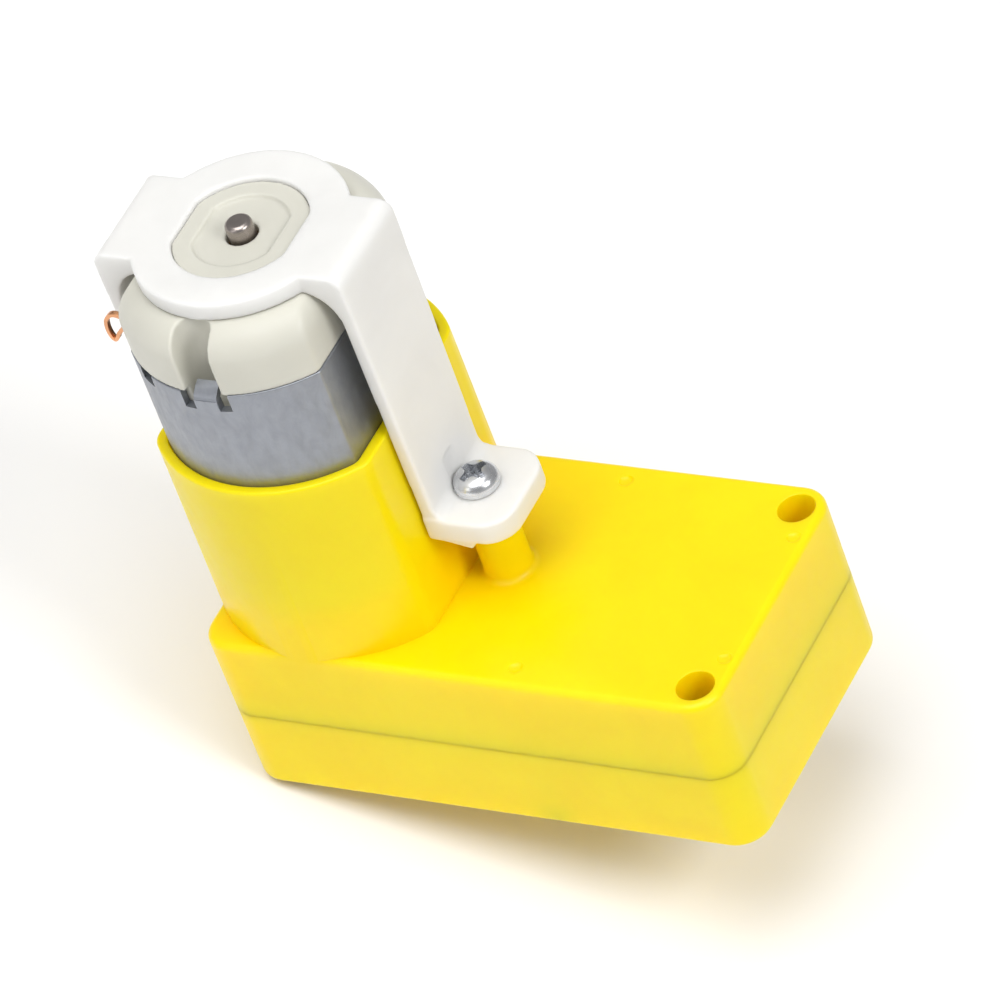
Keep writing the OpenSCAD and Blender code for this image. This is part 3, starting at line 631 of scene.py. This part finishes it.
def motor_strap():
    ring = lathe("ring", MOTOR_X, 0, [(RING_R, RING_FOOT), (RING_R, RING_TOP)], 96)
    lug = loft("lug", [(lug_outline(), LUG_TOP - LUG_T), (lug_outline(), LUG_TOP)])
    x0 = MOTOR_X + ARM_IN
    under = extrude_y("under", [(x0 + x, LUG_TOP - LUG_T + z) for x, z in BLOCK], -STRAP_HALF, STRAP_HALF)
    web_x = MOTOR_X + ARM_OUT
    web = [(web_x - 0.3, LUG_TOP - 0.3), (web_x + WEB_R, LUG_TOP - 0.3)]
    web += list(reversed(arc(web_x + WEB_R, LUG_TOP + WEB_R, WEB_R, 180, 270, 6)))
    web.append((web_x - 0.3, LUG_TOP + WEB_R))
    strap = join(ring, strap_band(), lug, under, extrude_y("web", web, -STRAP_HALF, STRAP_HALF))
    mouth = flat_outline(MOTOR_X, RING_HOLE_R, RING_HOLE_FLAT, 0.6)
    boss_hole = lathe("clear", LUG_X, 0, [(BOSS_R + 0.15, 0), (BOSS_R + 0.15, LUG_TOP - LUG_T)])
    bore = lathe("bore", LUG_X, 0, [(1.0, LUG_TOP - 4), (1.0, LUG_TOP + 4)], 32)
    seat = lathe("seat", LUG_X, 0, [(HEAD_R + 0.05, LUG_TOP), (HEAD_R + 0.05, LUG_TOP + 3)], 48)
    window = block("window", (MOTOR_X - ARM_OUT - 1, -CATCH_HALF - 0.1, CATCH_Z - 0.05),
                   (MOTOR_X - ARM_IN + 1, CATCH_HALF + 0.1, CATCH_Z + 2.05))
    cut(strap, loft("mouth", [(mouth, RING_FOOT - 1), (mouth, RING_TOP + 1)]), boss_hole, bore, seat, window)
    soften(strap, 0.13, 6, 60000)
    return present(strap, BODY, "strap_nylon", STRAP_WHITE, "motor_strap", crease=60)


def cross_cutter(x, y, top, reach, half, depth, turn):
    """Cutter for a cross recess: four arms with round inner corners, narrowing downwards."""
    outline = []
    for quarter in range(4):
        a = math.radians(90 * quarter)
        corner = [(reach, half * 0.8), (reach * 0.55, half)]
        corner += arc(half * 2.1, half * 2.1, half * 1.1, 270, 180, 5)
        corner += [(half, reach * 0.55), (half * 0.8, reach)]
        outline += [(p * math.cos(a) - q * math.sin(a), p * math.sin(a) + q * math.cos(a)) for p, q in corner]
    spin = math.radians(turn)
    outline = [(p * math.cos(spin) - q * math.sin(spin), p * math.sin(spin) + q * math.cos(spin))
               for p, q in outline]

    def at(scale, z):
        return ([(x + p * scale, y + q * scale) for p, q in outline], z)
    return loft("cross", [at(0.7, top - depth), at(1.0, top), at(1.02, top + 0.5)])


def strap_screw():
    """Pan head with a cross recess, on a threaded shank."""
    head_r, head_h = HEAD_R, SCREW_HI.z - LUG_TOP
    profile = [(head_r - 0.12, LUG_TOP), (head_r, LUG_TOP + 0.12), (head_r, LUG_TOP + 0.42)]
    turns = [math.radians(90 * i / 12) for i in range(1, 12)]
    rise = head_h - 0.42
    profile += [(0.55 + (head_r - 0.55) * math.cos(t), LUG_TOP + 0.42 + rise * math.sin(t)) for t in turns]
    profile.append((0.55, SCREW_HI.z))
    head = lathe("screw_head", LUG_X, 0, profile, 72)
    shank = [(0.35, SCREW_LO.z)]
    pitch, z = 0.55, SCREW_LO.z + 0.4
    while z < LUG_TOP - 0.3:
        shank += [(0.62, z), (0.84, z + pitch * 0.4), (0.84, z + pitch * 0.5)]
        z += pitch
    shank += [(0.62, LUG_TOP - 0.1), (0.62, LUG_TOP + 0.05)]
    join(head, lathe("shank", LUG_X, 0, shank, 32))
    cut(head, cross_cutter(LUG_X, 0, SCREW_HI.z, CROSS_REACH, CROSS_HALF, CROSS_DEPTH, CROSS_TURN))
    return present(head, BODY, "screw_chrome", CHROME, "strap_screw", crease=40)


# ---- Motor ----
def motor_can():
    def at(inset, z):
        return (flat_outline(MOTOR_X, CAN_R, CAN_FLAT, CAN_SOFT, inset), z)
    can = loft("can_shell", [at(i, z) for i, z in wall_rings(CAN_FOOT, CAN_TOP, 0.7, 0.1)])
    join(can, lathe("nose", MOTOR_X, 0, [(2.95, CAN_LO.z), (3.1, CAN_LO.z + 0.15), (3.1, CAN_FOOT + 0.3)]))
    cuts = [loft("inside", [at(CAN_T, CAN_FOOT + CAN_T), at(CAN_T, CAN_TOP + 1)]),
            lathe("seat", MOTOR_X, 0, [(2.5, CAN_LO.z + 0.4), (2.5, CAN_FOOT + 2)]),
            lathe("mouth", MOTOR_X, 0, [(1.4, CAN_LO.z - 1), (1.4, CAN_LO.z + 2)], 32)]
    for side in (-1, 1):
        def across(x0, x1, z):
            lo = (MOTOR_X + min(side * x0, side * x1), min(side * 7.6, side * 11), z)
            hi = (MOTOR_X + max(side * x0, side * x1), max(side * 7.6, side * 11), CAN_TOP + 1)
            return block("slot", lo, hi)
        cuts += [across(-1.9, -0.95, CAN_TOP - 1.45), across(0.95, 1.9, CAN_TOP - 1.45)]
        cuts += [across(-0.96, 0.96, CAN_TOP - 0.6), across(4.8, 6.1, CAN_TOP - 1.0)]
    cut(can, *cuts)
    tabs = [bent_tab(side) for side in (-1, 1)]
    join(can, *tabs)
    return present(can, BODY, "can_steel", ZINC, "motor_can", crease=38)


def bent_tab(side):
    """Tab at the rim, bent in over the cap."""
    outer = [(-CAN_R + 0.02, CAN_TOP - 1.3), (-CAN_R + 0.02, CAN_TOP - 0.75), (-CAN_R + 0.22, CAN_TOP - 0.25),
             (-CAN_R + 0.75, CAN_TOP + 0.12), (-CAN_R + 1.25, CAN_TOP + 0.3)]
    inner = [(-CAN_R + 1.35, CAN_TOP - 0.1), (-CAN_R + 0.95, CAN_TOP - 0.3), (-CAN_R + 0.62, CAN_TOP - 0.6),
             (-CAN_R + 0.56, CAN_TOP - 0.9), (-CAN_R + 0.56, CAN_TOP - 1.3)]
    profile = outer + inner
    n = len(profile)
    verts = [(MOTOR_X + x, -side * y, z) for x in (-0.92, 0.92) for y, z in profile]
    faces = [tuple(range(n)), tuple(reversed(range(n, 2 * n)))]
    faces += [(i, i + n, (i + 1) % n + n, (i + 1) % n) for i in range(n)]
    if side > 0:
        faces = [tuple(reversed(f)) for f in faces]
    return solid("tab", verts, faces)


def end_cap():
    """Rear cap: flats and round sides below a round crown, two grooves and a low boss."""
    crown, soft = CAP_CROWN, CAP_SOFT
    r, flat = CAN_R - 0.05, CAN_FLAT - 0.05
    rings = [(0, CAN_TOP), (0, CAP_TOP - crown)]
    for i in range(1, 11):
        t = math.radians(9 * i)
        rings.append((crown * (1 - math.cos(t)), CAP_TOP - crown + crown * math.sin(t)))

    def at(inset, z):
        round_r = r - inset
        side = min(flat - FLAT_R * inset / crown, round_r - 0.35)
        return (flat_outline(MOTOR_X, round_r, side, min(soft, (round_r - side) * 0.8 + 0.25)), z)
    cap = loft("cap_shell", [at(inset, z) for inset, z in rings])
    skirt = flat_outline(MOTOR_X, CAN_R - CAN_T - 0.05, CAN_FLAT - CAN_T - 0.05, 0.5)
    top = flat_outline(MOTOR_X, CAP_BOSS_R, CAP_BOSS_FLAT, 0.4)
    join(cap, loft("skirt", [(skirt, CAP_LO.z), (skirt, CAN_TOP + 0.5)]),
         loft("boss", [(top, CAP_TOP - 0.5), (top, CAP_TOP + CAP_BOSS_H)]))
    room = flat_outline(MOTOR_X, 8.0, 6.2, 0.5)
    room = loft("room", [(room, CAP_LO.z - 1), (room, CAP_TOP - 1.6)])
    pad, pads = GROOVE_R + 0.9, []
    for y in (-6.5, 6.5):
        near, far = sorted((y, y * 1.6))
        pads.append(block("pad", (MOTOR_X - pad, near, CAP_LO.z - 2), (MOTOR_X + pad, far, CAP_TOP)))
    cut(room, *pads)
    recess = flat_outline(MOTOR_X, 3.6, 3.1, 0.3)
    cuts = [room, lathe("seat", MOTOR_X, 0, [(2.5, CAP_TOP - 3.2), (2.5, CAP_TOP - 0.1)]),
            lathe("bore", MOTOR_X, 0, [(1.2, CAP_TOP - 1), (1.2, CAP_TOP + 2)], 32),
            loft("recess", [(recess, CAP_TOP + CAP_BOSS_H - 0.3), (recess, CAP_TOP + 3)])]
    foot, head = CAN_TOP - 2.0, CAP_TOP + 3
    for side in (-1, 1):
        cuts.append(lathe("groove", MOTOR_X, side * GROOVE_Y, [(GROOVE_R, foot), (GROOVE_R, head)], 40))
        near, far = sorted((side * GROOVE_Y, side * 13))
        cuts.append(block("groove", (MOTOR_X - GROOVE_R, near, foot), (MOTOR_X + GROOVE_R, far, head)))
        x0, x1 = sorted((side * 5.5, side * 9))
        y0, y1 = sorted((side * 5.65, side * 6.15))
        cuts.append(block("slot", (MOTOR_X + x0, y0, CAN_TOP + 1.35), (MOTOR_X + x1, y1, CAN_TOP + 2.6)))
    cut(cap, *cuts)
    soften(cap, 0.12, 8, 60000)
    return present(cap, BODY, "cap_plastic", IVORY, "end_cap", crease=60)


def terminal(side):
    """Copper strip with its riser and spring arm inside the cap. The left one ends in a slim loop outside."""
    strip = 0.28
    z = CAN_TOP
    path = [(-6.0, z + 1.95), (-7.6, z + 2.3), (-8.6, z + 2.55), (-9.25, z + 2.1), (-9.5, z + 1.3),
            (-9.45, z + 0.5), (-9.25, z + 0.15), (-9.0, z + 0.3), (-8.6, z + 0.9), (-8.1, z + 1.35)]
    if side > 0:
        path = [(-6.0, z + 1.95), (-7.2, z + 1.98), (-CAN_FLAT - 0.6, z + 1.95)]
    centre = smooth_path(path, 6)
    left, right = [], []
    for k, (x, zz) in enumerate(centre):
        ahead, behind = centre[min(k + 1, len(centre) - 1)], centre[max(k - 1, 0)]
        dx, dz = ahead[0] - behind[0], ahead[1] - behind[1]
        size = math.hypot(dx, dz)
        nx, nz = -dz / size * strip / 2, dx / size * strip / 2
        left.append((x + nx, zz + nz))
        right.append((x - nx, zz - nz))
    end = "left" if side < 0 else "right"
    y0, y1 = -6.1, -5.7
    n = len(centre)
    verts = [(x, y, zz) for y in (y0, y1) for line in (left, right) for x, zz in line]
    faces = []
    for i in range(n - 1):
        a, b, c, d = i, i + n, i + 2 * n, i + 3 * n
        faces += [(a, a + 1, b + 1, b), (c, d, d + 1, c + 1), (a, c, c + 1, a + 1), (b, b + 1, d + 1, d)]
    faces += [(0, n, 3 * n, 2 * n), (n - 1, 3 * n - 1, 4 * n - 1, 2 * n - 1)]
    loop = solid("terminal_" + end, verts, faces)
    riser = block("riser", (-6.1, -6.0, z + 1.6), (-5.85, -4.9, z + 2.3))
    post = block("post", (-6.1, -5.0, z - 1.2), (-5.85, -3.3, z + 2.3))
    arm = block("arm", (-6.1, -3.45, z - 1.2), (1.3, -3.25, z + 0.8))
    join(loop, riser, post, arm)
    turn = Matrix.Translation((MOTOR_X, 0, 0)) @ Matrix.Rotation(0 if side < 0 else math.pi, 4, "Z")
    loop.data.transform(turn)
    edge = loop.modifiers.new("edge", "BEVEL")
    edge.width, edge.segments, edge.limit_method, edge.angle_limit = 0.04, 2, "ANGLE", math.radians(50)
    settle(loop)
    return present(loop, BODY, "copper", COPPER, "brush_terminal_" + end, crease=50)


def smooth_path(points, steps):
    """Catmull-Rom curve through points in a plane."""
    out = []
    for k in range(len(points) - 1):
        p0, p1, p2, p3 = (Vector(points[min(max(k + d, 0), len(points) - 1)]) for d in (-1, 0, 1, 2))
        for i in range(steps):
            t = i / steps
            out.append(0.5 * (2 * p1 + (p2 - p0) * t + (2 * p0 - 5 * p1 + 4 * p2 - p3) * t * t
                              + (3 * p1 - p0 - 3 * p2 + p3) * t ** 3))
    out.append(Vector(points[-1]))
    return [(p.x, p.y) for p in out]


# ---- CAD nodes that stay ----
def keep(node, material, bevel_mm=0.0, segments=2):
    """Gives a CAD node its material and softens its hard edges."""
    obj = NODES[node]
    obj.data.materials.clear()
    obj.data.materials.append(material)
    if bevel_mm:
        edge = obj.modifiers.new("edge", "BEVEL")
        edge.width, edge.segments = bevel_mm * MM, segments
        edge.limit_method, edge.angle_limit = "ANGLE", math.radians(50)


KEPT = {
    "case_screws": (SCREW_ZINC, 0.04), "front_bushing": (BRONZE, 0.05), "rear_bushing": (BRONZE, 0.05),
    "field_magnets": (FERRITE, 0.12), "magnet_spring": (SPRING, 0.03), "carbon_brushes": (CARBON, 0.04),
    "motor_shaft": (STEEL, 0.0), "armature_core": (CORE, 0.05), "armature_windings": (WIRE, 0.15),
    "commutator": (COPPER, 0.04), "commutator_hub": (GEAR_WHITE, 0.06), "rotor_washers": (GEAR_WHITE, 0.06),
    "motor_pinion": (BRASS, 0.0), "idler_pin": (STEEL, 0.05), "output_pin": (STEEL, 0.05),
    "idler_washer": (BRONZE, 0.03), "first_gear": (GEAR_WHITE, 0.0), "second_gear": (GEAR_WHITE, 0.0),
    "third_gear": (GEAR_WHITE, 0.0), "output_gear": (GEAR_WHITE, 0.0), "output_shaft": (GEAR_WHITE, 0.08),
}


# ---- Camera, floor and light ----
CAMERA = {"azimuth": 39.8, "elevation": 40.2, "distance": 0.573, "roll": -21.2,
          "target": (-0.00857, 0.0, 0.0207), "lens": 294.6}
# The part leans on its gearbox's left edge and on the near flat of its output shaft's end
SHAFT_FLAT = 1.85
LEAN = math.atan2(-SHAFT_LO.z, -SHAFT_FLAT - BASE_LO.x)
FLOOR_SIDE = 3.0
LIGHT_AIM = Vector((-0.0096, 0, 0.018))
WORLD_STRENGTH = 0.38
# Azimuth, elevation, distance, size and watts of each soft box
LIGHTS = {"top_box": (20, 78, 0.55, 0.45, 2.4), "front_left_box": (-25, 30, 0.6, 0.22, 0.28),
          "front_right_box": (80, 32, 0.6, 0.22, 1.5)}


def camera():
    data = bpy.data.cameras.new("camera")
    data.lens, data.sensor_width = CAMERA["lens"], 36
    data.clip_start, data.clip_end = 0.01, 20
    obj = bpy.data.objects.new("camera", data)
    bpy.context.scene.collection.objects.link(obj)
    a, e, roll = (math.radians(CAMERA[k]) for k in ("azimuth", "elevation", "roll"))
    back = Vector((math.sin(a) * math.cos(e), -math.cos(a) * math.cos(e), math.sin(e)))
    right = (-back).cross(Vector((0, 0, 1))).normalized()
    up = right.cross(-back)
    right, up = (right * math.cos(roll) + up * math.sin(roll), up * math.cos(roll) - right * math.sin(roll))
    turn = Matrix((right, up, back)).transposed().to_4x4()
    obj.matrix_world = Matrix.Translation(Vector(CAMERA["target"]) + back * CAMERA["distance"]) @ turn
    bpy.context.scene.camera = obj


def floor():
    """Pale table top. The motor leans on its gearbox's edge and on its output shaft."""
    half = FLOOR_SIDE / 2
    mesh = bpy.data.meshes.new("floor")
    corners = [(-half, -half, 0), (half, -half, 0), (half, half, 0), (-half, half, 0)]
    mesh.from_pydata(corners, [], [(0, 1, 2, 3)])
    obj = bpy.data.objects.new("floor", mesh)
    bpy.context.scene.collection.objects.link(obj)
    contact = Vector((BASE_LO.x + 0.2, 0, BASE_LO.z - 0.02)) * MM
    obj.matrix_world = Matrix.Translation(contact) @ Matrix.Rotation(LEAN, 4, "Y")
    s = Shader("floor", (0.90, 0.90, 0.90), 0.7)
    s.tint(s.noise(0.02, 3), (0.895, 0.895, 0.895), (0.905, 0.905, 0.905))
    mesh.materials.append(s.material)


def soft_light(name, azimuth, elevation, distance, size, watts):
    data = bpy.data.lights.new(name, "AREA")
    data.shape, data.size, data.energy = "SQUARE", size, watts
    obj = bpy.data.objects.new(name, data)
    bpy.context.scene.collection.objects.link(obj)
    a, e = math.radians(azimuth), math.radians(elevation)
    back = Vector((math.sin(a) * math.cos(e), -math.cos(a) * math.cos(e), math.sin(e)))
    obj.location = LIGHT_AIM + back * distance
    obj.rotation_mode = "QUATERNION"
    obj.rotation_quaternion = (-back).to_track_quat("-Z", "Y")


def studio():
    world = bpy.data.worlds.new("studio")
    bpy.context.scene.world = world
    world.use_nodes = True
    background = world.node_tree.nodes["Background"]
    background.inputs["Color"].default_value = (1, 1, 1, 1)
    background.inputs["Strength"].default_value = WORLD_STRENGTH
    bpy.context.scene.view_settings.view_transform = "Standard"
    for name, values in LIGHTS.items():
        soft_light(name, *values)


camera()
floor()
studio()
for node, (material, bevel_mm) in KEPT.items():
    keep(node, material, bevel_mm)
gearbox_base()
gearbox_cover()
motor_strap()
strap_screw()
motor_can()
end_cap()
for side in (-1, 1):
    terminal(side)
